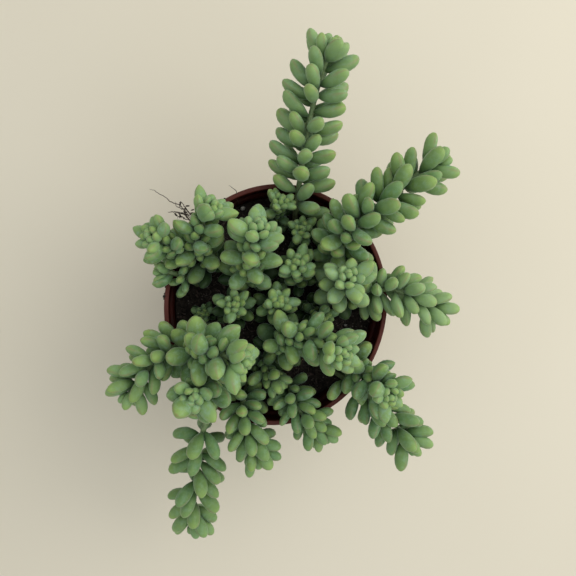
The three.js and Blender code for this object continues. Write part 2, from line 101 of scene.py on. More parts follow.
# Each shoot: its name, the bare length of its stem, its leaves, the length of a full-grown one, the turn of
# the lowest one in degrees, and the points that its stem passes through.
SHOOTS = [
    ("back_long", 10, 35, 17.5, 20,
     [(10, 41.5, 78), (10, 52.5, 91), (11, 67.5, 99), (13, 84.5, 104), (16.5, 101.5, 109),
      (20.5, 116.5, 114), (25, 127.5, 120)]),
    ("back_right", 9, 40, 17, 60,
     [(32, 24.5, 78), (32, 30.5, 98), (32, 36.5, 114), (37, 43.5, 121), (47, 50.5, 121), (58, 58.5, 118),
      (69, 67.5, 117), (80.5, 73.5, 118)]),
    ("right", 9, 22, 15, 0,
     [(42, 5.5, 78), (49, 7.5, 93), (58, 8.5, 101), (68, 4.5, 103), (78, -1.5, 101), (87, -6.5, 99)]),
    ("left_front_big", 20, 22, 17, 90,
     [(-35, -23.5, 78), (-41, -21.5, 106), (-37, -18.5, 123), (-28, -19.5, 131), (-17, -22.5, 135)]),
    ("left_front_rosette", 22, 18, 16.5, 0,
     [(-28, -37.5, 78), (-34, -36.5, 103), (-39, -36, 118), (-41.5, -36.5, 128), (-42.5, -37.5, 136)]),
    ("back_middle", 13, 22, 16, 40,
     [(-14, 13.5, 78), (-15, 19.5, 100), (-14, 26.5, 114), (-13, 33.5, 122), (-11, 40.5, 129)]),
    ("right_front_big", 11, 24, 15, 10,
     [(2, -23.5, 78), (2, -18.5, 98), (8, -13.5, 112), (17, -15, 118), (24.5, -18, 125),
      (27.5, -20, 133)]),
    ("right_rosette", 14, 18, 15, 70,
     [(32, 4.5, 78), (32, 9.5, 100), (32, 13.5, 114), (31, 16.5, 122)]),
    ("back_left", 12, 20, 14.5, 120,
     [(-34, 18.5, 78), (-40, 28.5, 104), (-39, 37.5, 116), (-36, 44.5, 120), (-32, 49.5, 125)]),
    ("left_rosette", 15, 17, 13.5, 200,
     [(-38, 24.5, 78), (-46, 26.5, 99), (-53, 30.5, 111), (-59, 33.5, 117), (-63, 34.5, 122)]),
    ("right_front_rosette", 10, 20, 15.5, 30,
     [(36, -28.5, 78), (41, -32.5, 97), (47, -37.5, 108), (51, -40.5, 116), (52, -42.5, 122)]),
    ("right_front_low", 20, 20, 16.5, 80,
     [(30, -35.5, 78), (38, -40.5, 94), (50, -50.5, 98), (63, -64.5, 95), (74, -78.5, 90)]),
    ("left_front_out", 28, 17, 15, 150,
     [(-43, -15.5, 78), (-52, -19.5, 104), (-60, -24.5, 112), (-68, -32.5, 113), (-75, -44.5, 109)]),
    ("front_left_long", 24, 28, 16, 100,
     [(-26, -42.5, 78), (-32, -50.5, 95), (-38, -61.5, 98), (-41, -79.5, 84), (-43, -100.5, 71),
      (-45, -118.5, 60), (-44, -131.5, 54)]),
    ("front", 13, 19, 14.5, 45,
     [(-15, -43.5, 78), (-18, -49.5, 93), (-17, -58.5, 99), (-13, -71.5, 93), (-9, -83.5, 86)]),
    ("front_right", 10, 17, 13, 15,
     [(7, -40.5, 78), (7, -46.5, 92), (11, -53.5, 98), (19, -61.5, 96), (27.5, -69.5, 90)]),
    ("middle_front_rosette", 11, 13, 11.5, 10,
     [(-3, -4.5, 78), (-2, 0.5, 95), (0, 3.5, 107)]),
    ("middle_left_rosette", 9, 12, 11, 50,
     [(-21, -4.5, 78), (-22, -0.5, 92), (-23, 2.5, 104)]),
    ("middle_rosette", 12, 13, 11.5, 80,
     [(13, 10.5, 78), (10, 17.5, 95), (8, 22.5, 110)]),
    ("middle_front", 7, 12, 12, 0,
     [(-7, -29.5, 78), (-8, -30.5, 88), (-4, -36.5, 95), (2, -43.5, 97)]),
    ("back_small", 6, 10, 9.5, 30,
     [(1, 42.5, 78), (0, 48.5, 92), (1, 54.5, 103)]),
    ("middle_back_small", 6, 9, 10, 90,
     [(16, 32.5, 78), (13, 37.5, 90), (11, 40.5, 100)]),
    ("left_sprig", 12, 9, 11, 60,
     [(-41, 10.5, 78), (-48, 15.5, 94), (-55, 17.5, 98), (-62, 17.5, 97)]),
    ("right_low", 5, 6, 11, 0,
     [(19, -2.5, 78), (21, -5.5, 90), (25, -6.5, 98)]),
    ("soil_rosette", 2, 7, 7.5, 0,
     [(-37, -7.5, 78), (-38, -5.5, 83), (-39, -3.5, 89)]),
]

# ---- The camera of the photograph ----

CAMERA_AT = Vector((-0.031, 0.0255, 0.422))
CAMERA_AIM = Vector((0.0053, 0.00905, 0.092))
CAMERA_LENS = 40.43

# ---- Small helpers ----

MM = 0.001


def mix(a, b, share):
    return a + (b - a) * share


def unit(v):
    return v / np.linalg.norm(v, axis=-1, keepdims=True)


def step(low, high, value):
    """0 below low, 1 above high, and smooth between them."""
    share = np.clip((value - low) / (high - low), 0, 1)
    return share * share * (3 - 2 * share)


def seeded_random(seed):
    """The CAD source's own random numbers, from 0 to 1."""
    state = seed

    def draw():
        nonlocal state
        state = state * RANDOM_FACTOR % RANDOM_RANGE
        return state / RANDOM_RANGE

    return draw


def dress(mesh, marks, sharp):
    """Smooth shading, marks as named values per point, and hard edges at turns of over sharp degrees."""
    for mark, values in (marks or {}).items():
        mesh.attributes.new(mark, "FLOAT", "POINT").data.foreach_set("value", np.asarray(values, np.float32))
    mesh.polygons.foreach_set("use_smooth", [True] * len(mesh.polygons))
    if sharp is not None:
        mesh.set_sharp_from_angle(angle=math.radians(sharp))
    mesh.update()


def piece(name, points, faces, materials, face_materials=None, marks=None, sharp=None):
    """A shown piece from points in mm."""
    mesh = bpy.data.meshes.new(name)
    mesh.from_pydata((np.asarray(points) * MM).tolist(), [], faces)
    for material in materials:
        mesh.materials.append(material)
    if face_materials is not None:
        mesh.polygons.foreach_set("material_index", face_materials)
    dress(mesh, marks, sharp)
    made = bpy.data.objects.new(name, mesh)
    bpy.context.scene.collection.objects.link(made)
    return made


def skin(rows, sides):
    """Faces over rows of sides points each, with one point before the first row and one after the last."""
    faces = []
    for r in range(rows - 1):
        low, high = 1 + r * sides, 1 + (r + 1) * sides
        faces += [(low + i, low + (i + 1) % sides, high + (i + 1) % sides, high + i) for i in range(sides)]
    faces += [(0, 1 + (i + 1) % sides, 1 + i) for i in range(sides)]
    last = 1 + (rows - 1) * sides
    return faces + [(last + sides, last + i, last + (i + 1) % sides) for i in range(sides)]


def round_turns(sides):
    """Angles of that many points round a circle."""
    return 2 * math.pi * np.arange(sides) / sides


def ring(middle, side, front, sides, radius):
    """Points round a middle, in the plane of side and front."""
    turn = round_turns(sides)[:, None]
    return middle + (side * np.cos(turn) + front * np.sin(turn)) * radius


def with_ends(points):
    """The same points, with one more before the first and after the last, as spline needs them."""
    p = np.array(points, float)
    return np.vstack([2 * p[0] - p[1], p, 2 * p[-1] - p[-2]])


def spline(ends, span, w):
    """The point at a share w of that span of a smooth curve."""
    before, here, there, after = ends[span : span + 4]
    leave, arrive = (there - before) / 2, (after - here) / 2
    bend = -3 * here + 3 * there - 2 * leave - arrive
    return here + leave * w + bend * w**2 + (2 * here - 2 * there + leave + arrive) * w**3


class Heap:
    """Many parts that become one piece, each with its own marks."""

    def __init__(self):
        self.points, self.faces, self.marks, self.count = [], [], {}, 0

    def add(self, points, faces, **marks):
        self.points.append(points)
        self.faces += [tuple(corner + self.count for corner in face) for face in faces]
        self.count += len(points)
        for mark, value in marks.items():
            self.marks.setdefault(mark, []).append(np.broadcast_to(value, len(points)))

    def piece(self, name, materials, face_materials=None, sharp=None):
        marks = {mark: np.concatenate(values) for mark, values in self.marks.items()}
        return piece(name, np.vstack(self.points), self.faces, materials, face_materials, marks, sharp)


# ---- Form of the pot and the soil, as in the CAD source ----


def pot_outside(z):
    lip = mix(LIP_BOTTOM_RADIUS, RIM_RADIUS, (z - LIP_BOTTOM) / LIP_HEIGHT)
    wall = mix(BASE_RADIUS, WALL_TOP_RADIUS, np.maximum(z, 0) / LIP_BOTTOM)
    return np.where(z > LIP_BOTTOM, lip, wall)


def pot_inside(z):
    return pot_outside(np.minimum(z, LIP_BOTTOM)) - WALL + np.where(z > LIP_BOTTOM, LIP_STEP, 0)


def squeeze_at(z):
    return RIM_SQUEEZE * np.clip(z / POT_HEIGHT, 0, 1)


def turned(x, y, angle):
    c, s = math.cos(angle), math.sin(angle)
    return x * c - y * s, x * s + y * c


def squeezed(points):
    """Points of the round pot, moved to where the soft rim has them."""
    points = np.array(points, float)
    x, y = turned(points[:, 0], points[:, 1], -RIM_LONG_AXIS)
    ease = squeeze_at(points[:, 2])
    points[:, 0], points[:, 1] = turned(x * (1 - ease), y * (1 + ease), RIM_LONG_AXIS)
    return points


def round_radius(points):
    """Distance from the pot's axis, measured in the pot before the squeeze."""
    x, y = turned(points[..., 0], points[..., 1], -RIM_LONG_AXIS)
    ease = squeeze_at(points[..., 2])
    return np.hypot(x / (1 - ease), y / (1 + ease))


def soil_height(x, y):
    roll = np.sin(x * SOIL_WAVES[0] + SOIL_WAVE_STARTS[0]) * np.cos(y * SOIL_WAVES[1] + SOIL_WAVE_STARTS[1])
    return SOIL_TOP + SOIL_BUMP * roll


# ---- Stems ----

SAMPLES_PER_SPAN = 16


class Line:
    """A stem's line: an upright foot, then a smooth curve, with a frame carried along it."""

    def __init__(self, path):
        ends, spans = with_ends(path), len(path) - 1
        at = [ends[1] - (0, 0, FOOT_DEPTH)]
        for sample in range(SAMPLES_PER_SPAN * spans + 1):
            span = min(sample // SAMPLES_PER_SPAN, spans - 1)
            at.append(spline(ends, span, sample / SAMPLES_PER_SPAN - span))
        self.at = np.array(at)
        self.reach = np.concatenate([[0], np.cumsum(np.linalg.norm(np.diff(self.at, axis=0), axis=1))])
        self.length = self.reach[-1]
        side = np.array([1.0, 0, 0])
        self.tangents, self.sides = [], []
        for i in range(len(at)):
            after = 1 if i < 2 else min(i + 1, len(at) - 1)
            tangent = unit(self.at[after] - self.at[max(i - 1, 0)])
            side = unit(side - tangent * side.dot(tangent))
            self.tangents.append(tangent)
            self.sides.append(side)

    def along(self, distance):
        """The point and frame at a distance along the line."""
        i = 1
        while i < len(self.at) - 1 and self.reach[i] < distance:
            i += 1
        share = (distance - self.reach[i - 1]) / (self.reach[i] - self.reach[i - 1])
        tangent = unit(mix(self.tangents[i - 1], self.tangents[i], share))
        side = mix(self.sides[i - 1], self.sides[i], share)
        side = unit(side - tangent * side.dot(tangent))
        return mix(self.at[i - 1], self.at[i], share), tangent, side, np.cross(tangent, side)


# ---- Placing of leaves ----

# Balls along a leaf stand for it while it is placed.
BALL_PLACES = np.array([0.22, 0.36, 0.5, 0.64, 0.77, 0.89])
BALL_REACH = 1.3  # how far they can be from the leaf's root, over its length
SPARE = 3  # and a little more, in mm
NO_BALLS = np.empty((0, 4))


def leaf_shape(t):
    """Half-width of a leaf along its length, as a share of its widest."""
    return np.sin(math.pi * t**LEAF_SHIFT) ** LEAF_BLUNTNESS


class Leaves:
    """Ways for one leaf to stand on a line, all with the same root distance: one row for each way."""

    def __init__(self, line, distance, turn, angle, length, aspect=LEAF_ASPECT, offset=ROOT_OFFSET):
        turn, angle, length = np.broadcast_arrays(*np.atleast_1d(turn, angle, length))
        point, tangent, side, front = line.along(distance)
        turn, angle = turn[:, None], angle[:, None]
        radial = side * np.cos(turn) + front * np.sin(turn)
        self.out = tangent * np.cos(angle) + radial * np.sin(angle)
        self.across = unit(np.cross(tangent, radial))
        self.up = np.cross(self.out, self.across)
        self.root = point + radial * offset
        self.length = length
        reach = length[:, None, None] * BALL_PLACES[None, :, None]
        rise = reach * LEAF_BEND * BALL_PLACES[None, :, None]
        self.balls = self.root[:, None] + self.out[:, None] * reach + self.up[:, None] * rise
        self.radii = length[:, None] * aspect / 2 * leaf_shape(BALL_PLACES)


def gap_to_pot(at, radii):
    """Distance from balls' skins to the pot or to the soil, whichever is nearer."""
    r, z = round_radius(at), at[..., 2]
    soil = np.where(r < pot_inside(SOIL_TOP), z - (SOIL_TOP + SOIL_BUMP), z)
    above = np.hypot(r - LIP_BOTTOM_RADIUS, z - POT_HEIGHT) - EDGE_EASE
    beside = np.maximum(r - pot_outside(z), pot_inside(z) - r)
    return np.minimum(soil, np.where(z > POT_HEIGHT, above, beside)) - radii


def near(balls, centre, reach):
    """The rows of balls (x, y, z, radius) that a leaf of that reach could touch."""
    return balls[np.linalg.norm(balls[:, :3] - centre, axis=1) < reach + balls[:, 3] + SPARE]


def settle(ways, strain, others, own, clearance=CLEARANCE):
    """The number of the best way to stand, clear of other shoots and least in the way of its own leaves, and
    how much it presses on them. The number is None where no way is clear."""
    reach = BALL_REACH * ways.length.max()
    others, own = near(others, ways.root[0], reach), near(own, ways.root[0], reach)
    apart = np.linalg.norm(ways.balls[:, :, None] - others[None, None, :, :3], axis=-1)
    tight = (apart < ways.radii[:, :, None] + others[None, None, :, 3] + clearance).any(axis=(1, 2))
    tight |= (gap_to_pot(ways.balls, ways.radii) < POT_CLEARANCE).any(axis=1)
    balls, radii = ways.balls[:, 1:, None], ways.radii[:, 1:, None]
    deep = radii + own[None, None, :, 3] - np.linalg.norm(balls - own[None, None, :, :3], axis=-1)
    press = np.maximum(deep - NESTING * np.minimum(radii, own[None, None, :, 3]), 0).sum(axis=(1, 2))
    score = np.where(tight, np.inf, strain + press)
    best = int(np.argmin(score))
    return (None, 0) if tight[best] else (best, press[best])


def yields(sizes, swings, lifts):
    """The ways a leaf can give way: size, swing, lift, and how unlike its free place each one is."""
    return np.array([
        (size, math.radians(swing), math.radians(lift),
         (1 - size) * SHORTENING_STRAIN + (abs(swing) + abs(lift)) * TURNING_STRAIN)
        for size in sizes for swing in swings for lift in lifts
    ])


YIELDS = yields((1, 0.86, 0.72, 0.58), (0, -12, 12, -24, 24), (0, -14, 14, -28))


def free_places(shoot, line, random):
    """The free places of a shoot's leaves, as in the source: age, distance, turn, angle, length, slimness."""
    _, bare, count, leaf, turn, _ = shoot
    for i in range(count):
        share = (i + 0.5) / count
        youth = min(1, YOUNGEST + GROWTH * (1 - share))
        distance = mix(FOOT_DEPTH + bare, line.length - TIP_MARGIN, 1 - (1 - share) ** TIP_CROWDING)
        place = turn + i * GOLDEN_ANGLE + mix(-TURN_SCATTER, TURN_SCATTER, random())
        angle = mix(SPREAD_ANGLE, TIP_ANGLE, share**LATE_TURN) + mix(-ANGLE_SCATTER, ANGLE_SCATTER, random())
        length = leaf * youth * mix(*SIZE_SCATTER, random())
        slim = kind_of(shoot).slim
        yield share * STALK_AGE, distance, math.radians(place), math.radians(angle), length, slim


# Shoots that trail over the rim, and how many times their number of leaves is tried for more.
TRAILING = {
    "back_long": 1.2, "back_right": 3.4, "right": 1.2, "right_front_low": 2.8, "left_front_out": 1.5,
    "front_left_long": 0.3, "front": 2.4, "front_right": 2.4, "left_sprig": 0.6,
}
UPRIGHT_TRIES = 5.2  # the same for all other shoots

# What differs between the two. A head is the crowded end of a shoot.
UPRIGHT = SimpleNamespace(
    slim=0.505,  # width over length of a full-grown leaf
    lowest=0.5,  # height of the lowest added leaf, over the bare length
    least=0,  # size of the smallest added leaf
    head_count=13,
    head_slim=0.46,  # width over length of a head's outermost leaf
    head_angle=76,  # between the stem and that leaf, in degrees
    largest=1,  # size of that leaf, over a full-grown one
    fall=1,  # above 1 where the sizes in a head fall slowly at first
    packing=0.43,  # a head's leaf from the axis, over the root of the area of the leaves inside it
    reach=0.16,  # how far a head ends beyond its stem, over a full-grown leaf's length
    sharpness=(0.3, 0.9),  # how pointed the leaves are, from 0 to 1
    # The next two are painted shade: at the leaves' roots, and low in the pot.
    crowd=0.93,  # how dark they are at their roots
    gloom=1,  # and low in the pot
)
TRAILS = SimpleNamespace(
    slim=0.435, lowest=0.75, least=0.8, head_count=9, head_slim=0.435, head_angle=62, largest=0.92, fall=1.3,
    packing=0.52, reach=0.12, sharpness=(0.05, 0.4), crowd=0.72, gloom=0.5,
)
STALK_AGE, HEAD_AGE = 0.8, 0.82  # of the youngest leaf below a head, and of a head's oldest

BUD_WIDTH = 3.5  # of the smallest bud at the end of an upright shoot, in mm
LARGEST_BUD = 0.6  # and the most that it may be, as a share of a full-grown leaf
LOOSE_BUD = 0.45  # the same for the smallest leaf at the end of a trailing shoot
BUD_ROUNDNESS = 0.88  # width over length of the smallest bud
SMALLEST_GROWN = 0.1  # size at which a leaf begins to get slimmer than that
PLUMPING = 0.8  # below 1 where a head's small leaves are plumper than its large ones
BUD_ANGLE = 8  # between the stem and the smallest bud
OPENING = 0.8  # below 1 where the leaves of a head open early
FALLING = 0.7  # how much lower a head's leaf ends for each mm from the axis
HEAD_WIDEST = 0.6  # where along a leaf its distance from the axis is measured
HEAD_OFFSETS = (0.15, 2)  # least and most distance of a head's leaf root from the axis

INFILL_LENGTH = 0.97  # of an added leaf, over a full-grown one
INFILL_TIP_ANGLE = 55  # between the stem and the youngest added leaf
INFILL_LATE_TURN = 3
INFILL_START = 0.25  # how far along its share of the stem each try is
INFILL_PRESS = 2.3  # most that an added leaf may press on its neighbours, in mm
INFILL_SHORTENING = 1.5  # strain where a leaf would be shortened to nothing
INFILL_LIFT = 90  # degrees of lift for a strain of 1
INFILL_WAYS = np.array([
    (size, math.radians(turn), math.radians(lift), (1 - size) * INFILL_SHORTENING + abs(lift) / INFILL_LIFT)
    for size in (1, 0.88, 0.76, 0.64)
    for turn in range(0, 360, 24)
    for lift in (0, -16, 14, -32)
])
HEAD_WAYS = yields((1, 0.86, 0.72, 0.58), (0, -10, 10), (0, -10, 10, -22))
VISUAL_CLEARANCE = 0.2  # between the fine leaves of two shoots, in mm


def kind_of(shoot):
    return TRAILS if shoot[0] in TRAILING else UPRIGHT


def head_places(shoot, line):
    """The same for a shoot's end, outermost first, with the slimness again and the offset."""
    _, _, count, leaf, turn, _ = shoot
    kind = kind_of(shoot)
    smallest = min((BUD_WIDTH / (leaf * kind.head_slim)) ** (1 / PLUMPING), LARGEST_BUD)
    if kind is TRAILS:
        smallest = LOOSE_BUD
    shares = np.arange(kind.head_count) / (kind.head_count - 1)
    sizes = kind.largest * (smallest / kind.largest) ** (shares**kind.fall)
    widths = leaf * kind.head_slim * sizes**PLUMPING
    areas = np.cumsum(widths[::-1] ** 2)[::-1]
    for i, (share, size, width, area) in enumerate(zip(shares, sizes, widths, areas)):
        aspect = mix(BUD_ROUNDNESS, kind.head_slim, step(SMALLEST_GROWN, kind.largest, size))
        length = width / aspect
        opened = ((size - smallest) / (kind.largest - smallest)) ** OPENING
        angle = math.radians(mix(BUD_ANGLE, kind.head_angle, opened))
        spread = kind.packing * math.sqrt(area)
        least, most = HEAD_OFFSETS
        offset = min(max(spread - HEAD_WIDEST * length * math.sin(angle), least), most)
        if i == kind.head_count - 1:
            angle, offset = 0, 0
        distance = line.length + kind.reach * leaf - (length * math.cos(angle) + FALLING * spread)
        place = math.radians(turn + (count + i) * GOLDEN_ANGLE)
        yield mix(HEAD_AGE, 1, share), distance, place, angle, length, aspect, aspect, offset


def infill_places(shoot, line, end):
    """The same for more leaves between the lowest one and the head, with the slimness again."""
    name, bare, count, leaf, _, _ = shoot
    tries = int(count * TRAILING.get(name, UPRIGHT_TRIES))
    lowest = FOOT_DEPTH + bare * kind_of(shoot).lowest
    for i in range(tries):
        share = (i + INFILL_START) / tries
        distance = mix(lowest, end, 1 - (1 - share) ** TIP_CROWDING)
        angle = math.radians(mix(SPREAD_ANGLE, INFILL_TIP_ANGLE, share**INFILL_LATE_TURN))
        slim = kind_of(shoot).slim
        yield share * STALK_AGE, distance, 0, angle, leaf * INFILL_LENGTH, slim, slim


def grow():
    """The lines of all stems, and the leaves of each. A leaf's age is 0 at the lowest and 1 at the tip."""
    lines = [Line(shoot[-1]) for shoot in SHOOTS]
    stems = []
    for line in lines:
        bare = line.at[line.at[:, 2] > SOIL_TOP]
        stems.append(np.column_stack([bare, np.full(len(bare), STEM_RADIUS)]))
    taken = [NO_BALLS for _ in SHOOTS]
    leaves = [[] for _ in SHOOTS]

    def stand(owner, places, table, clearance, beside=True, hardest=math.inf, least=0):
        """Sets a shoot's leaves at these places, as far as they fit, and returns their distances."""
        others = np.vstack([b for k in range(len(SHOOTS)) if k != owner for b in (taken[k], stems[k])])
        size, swing, lift, strain = table.T
        distances = []
        for age, distance, turn, angle, length, slim, *form in places:
            ways = Leaves(lines[owner], distance, turn + swing, angle + lift, length * size, *form)
            past_root = np.arange(len(taken[owner])) % len(BALL_PLACES) > 0
            own = taken[owner][past_root] if beside else NO_BALLS
            pick, press = settle(ways, strain, others, own, clearance)
            if pick is not None and press < hardest and size[pick] >= least:
                distances.append(distance)
                leaf = {key: getattr(ways, key)[pick] for key in ("root", "out", "across", "up", "length")}
                leaves[owner].append(SimpleNamespace(**leaf, width=leaf["length"] * slim, age=age))
                balls = np.column_stack([ways.balls[pick], ways.radii[pick]])
                taken[owner] = np.vstack([taken[owner], balls])
        return distances

    # The leaves of the CAD source. Those where the head comes only hold their place until all are set.
    heads = [list(head_places(shoot, line)) for shoot, line in zip(SHOOTS, lines)]
    ends = [min(place[1] for place in head) for head in heads]
    keeps = []
    for owner, (shoot, line) in enumerate(zip(SHOOTS, lines)):
        places = free_places(shoot, line, seeded_random(FIRST_SEED + SEED_STEP * owner))
        distances = stand(owner, places, YIELDS, CLEARANCE)
        keeps.append([distance < ends[owner] for distance in distances])
    for owner, keep in enumerate(keeps):
        leaves[owner] = [leaf for leaf, kept in zip(leaves[owner], keep) if kept]
        taken[owner] = taken[owner][np.repeat(keep, len(BALL_PLACES))]
        taken[owner][:, 3] *= UPRIGHT.slim / LEAF_ASPECT
    for owner, head in enumerate(heads):
        stand(owner, head, HEAD_WAYS, VISUAL_CLEARANCE, beside=False)
    for owner, (shoot, line) in enumerate(zip(SHOOTS, lines)):
        places = infill_places(shoot, line, ends[owner])
        stand(owner, places, INFILL_WAYS, VISUAL_CLEARANCE, hardest=INFILL_PRESS, least=kind_of(shoot).least)
    return lines, leaves


# ---- Materials ----


class Recipe:
    """A material's node tree, built by short calls. Inputs are numbers, colours or other nodes' outputs."""

    def __init__(self, name, **shader):
        self.material = bpy.data.materials.new(name)
        self.material.use_nodes = True
        self.tree = self.material.node_tree
        self.shader = self.tree.nodes["Principled BSDF"]
        self.place = self.tree.nodes.new("ShaderNodeTexCoord").outputs["Object"]
        self.set(**shader)

    def set(self, **shader):
        for key, value in shader.items():
            self.feed(self.shader.inputs[key.replace("_", " ")], value)

    def feed(self, socket, value):
        if isinstance(value, bpy.types.NodeSocket):
            self.tree.links.new(value, socket)
        elif socket.type == "RGBA":
            socket.default_value = (*value, 1)
        else:
            socket.default_value = value

    def node(self, kind, inputs, **settings):
        made = self.tree.nodes.new("ShaderNode" + kind)
        for key, value in settings.items():
            setattr(made, key, value)
        for key, value in inputs.items():
            self.feed(made.inputs[key], value)
        return made

    def mark(self, name):
        return self.node("Attribute", {}, attribute_name=name).outputs["Fac"]

    def noise(self, scale, detail=3, roughness=0.5, place=None):
        inputs = {"Vector": place or self.place, "Scale": scale, "Detail": detail, "Roughness": roughness}
        return self.node("TexNoise", inputs).outputs["Fac"]

    def cells(self, scale):
        return self.node("TexVoronoi", {"Vector": self.place, "Scale": scale}).outputs["Distance"]

    def stretch(self, x, y, z):
        inputs = {"Vector": self.place, "Scale": (x, y, z)}
        return self.node("Mapping", inputs).outputs["Vector"]

    def range(self, value, low, high, to_low=0.0, to_high=1.0):
        inputs = {"Value": value, "From Min": low, "From Max": high, "To Min": to_low, "To Max": to_high}
        return self.node("MapRange", inputs, interpolation_type="SMOOTHSTEP").outputs["Result"]

    def math(self, operation, a, b=0.0):
        return self.node("Math", {0: a, 1: b}, operation=operation).outputs[0]

    def both(self, a, b):
        return self.math("MULTIPLY", a, b)

    def blend(self, share, a, b):
        return self.node("Mix", {0: share, 6: a, 7: b}, data_type="RGBA").outputs[2]

    def blotches(self, a, b, *noise, low=0.3):
        return self.blend(self.range(self.noise(*noise), low, 0.7), a, b)

    def coat(self, share, colour):
        """Lays that share of a colour over the colour so far."""
        self.colour = self.blend(share, self.colour, colour)

    def bump(self, height, distance, strength=1.0, normal=None):
        inputs = {"Height": height, "Distance": distance, "Strength": strength}
        if normal is not None:
            inputs["Normal"] = normal
        return self.node("Bump", inputs).outputs["Normal"]


def leaf_material():
    r = Recipe("succulent_leaf", Subsurface_Scale=0.003, Subsurface_Weight=0.06, IOR=1.4)
    r.set(Subsurface_Radius=(0.45, 0.75, 0.25), Sheen_Weight=0.22, Sheen_Roughness=0.45)
    r.set(Sheen_Tint=(0.74, 0.95, 0.82), Specular_IOR_Level=0.34)
    along, upper, age, tint, blush = (r.mark(m) for m in ("along", "upper", "age", "tint", "blush"))
    body = r.blend(r.range(tint, 0, 1), (0.104, 0.209, 0.073), (0.137, 0.232, 0.067))
    young = r.blend(r.range(tint, 0, 1), (0.19, 0.322, 0.124), (0.228, 0.362, 0.124))
    r.colour = r.blend(r.range(age, 0.45, 1), body, young)
    mottle = r.range(r.noise(260), 0.35, 0.7, 0, 0.45)
    r.coat(mottle, (0.18, 0.275, 0.07))
    r.coat(r.both(r.mark("pale"), r.range(r.noise(180, 2), 0.3, 0.7, 0.5, 1)), (0.255, 0.385, 0.155))
    bloom = r.both(r.range(r.noise(420, 4, 0.6), 0.4, 0.72), r.range(upper, -0.6, 0.9, 0.3, 0.75))
    r.coat(bloom, (0.23, 0.366, 0.236))
    # Partly the tips' own yellower green and partly painted light: a glow towards the tips that stands in for
    # light shining through them.
    glow = r.both(r.range(along, 0.7, 0.99), r.range(tint, 0.1, 1, 0.2, 0.8))
    r.coat(glow, (0.245, 0.365, 0.085))
    # Painted shade: the leaves darker towards their roots, where they crowd one another.
    root = r.both(r.range(along, 0.05, 0.55, 1, 0), r.mark("crowd"))
    r.coat(root, (0.012, 0.05, 0.004))
    tip = r.both(r.range(along, 0.965, 1), blush)
    r.coat(tip, (0.25, 0.12, 0.06))
    side = r.both(r.range(r.math("ABSOLUTE", upper), 0, 0.45, 0.45, 0), r.range(along, 0.45, 0.9))
    r.coat(side, (0.25, 0.18, 0.1))
    specks = r.range(r.cells(1500), 0.05, 0.25, 0.2, 0)
    r.coat(specks, (0.35, 0.46, 0.29))
    # Painted shade: leaves low in the pot darker, as in the shade of those above them.
    r.coat(r.range(r.mark("shade"), 0, 1, 0, 0.92), (0.004, 0.022, 0.001))
    r.set(Base_Color=r.colour, Roughness=r.range(r.noise(700), 0.3, 0.7, 0.4, 0.58))
    pores = r.bump(r.noise(2600, 2), 0.00006, 0.5)
    r.set(Normal=r.bump(r.noise(300, 2), 0.0003, 0.5, pores))
    return r.material


def stem_material():
    r = Recipe("succulent_stem", Subsurface_Scale=0.003, Subsurface_Weight=0.1, IOR=1.42)
    r.set(Subsurface_Radius=(0.5, 0.7, 0.3))
    bark = r.noise(900, 5, 0.6)
    green = r.blend(r.range(bark, 0.3, 0.7), (0.1, 0.16, 0.06), (0.18, 0.25, 0.11))
    colour = r.blend(r.range(r.mark("age"), 0.0, 0.35, 0.85, 0), green, (0.16, 0.12, 0.07))
    r.set(Base_Color=colour, Roughness=r.range(bark, 0.3, 0.7, 0.5, 0.75), Normal=r.bump(bark, 0.0003, 0.8))
    return r.material


def pot_material():
    r = Recipe("nursery_pot_plastic", IOR=1.45, Specular_IOR_Level=0.18)
    inner, height = r.mark("inner"), r.mark("height")
    r.colour = r.blotches((0.06, 0.011, 0.008), (0.09, 0.02, 0.013), 45, 4)
    streaks = r.range(r.noise(22, 6, 0.65, r.stretch(6, 6, 0.7)), 0.5, 0.75, 0, 0.3)
    r.coat(streaks, (0.12, 0.04, 0.028))
    scuff = r.range(r.noise(900, 3, 0.7, r.stretch(1, 1, 0.12)), 0.62, 0.72, 0, 0.3)
    r.coat(scuff, (0.19, 0.085, 0.065))
    # Painted highlight: the top of the rim lighter.
    r.coat(r.range(height, 0.985, 1, 0, 0.25), (0.14, 0.045, 0.032))
    # Painted shade: the inside of the pot darker, as in the shade of the pot and the plant.
    r.coat(r.range(inner, 0, 1, 0, 0.75), (0.032, 0.0028, 0.0012))
    splash = r.both(r.range(r.noise(160, 5, 0.7), 0.48, 0.62), r.range(height, 0.88, 0.97, 1, 0.45))
    r.coat(r.both(splash, r.range(inner, 0, 1, 0.06, 0.5)), (0.016, 0.011, 0.008))
    foot = r.both(r.range(height, 0, 0.16, 0.75, 0), r.range(r.noise(120, 5, 0.6), 0.35, 0.65))
    r.coat(foot, (0.12, 0.085, 0.06))
    r.set(Base_Color=r.colour, Roughness=r.range(r.noise(240, 4, 0.6), 0.3, 0.7, 0.42, 0.62))
    grain = r.bump(r.noise(1700, 3, 0.6), 0.00008, 0.5)
    r.set(Normal=r.bump(r.noise(60, place=r.stretch(1, 1, 0.3)), 0.0006, 0.35, grain))
    return r.material


HUMUS, BARK, PERLITE, STRAW, FALLEN, ROOT = range(6)  # what the mark "kind" tells apart


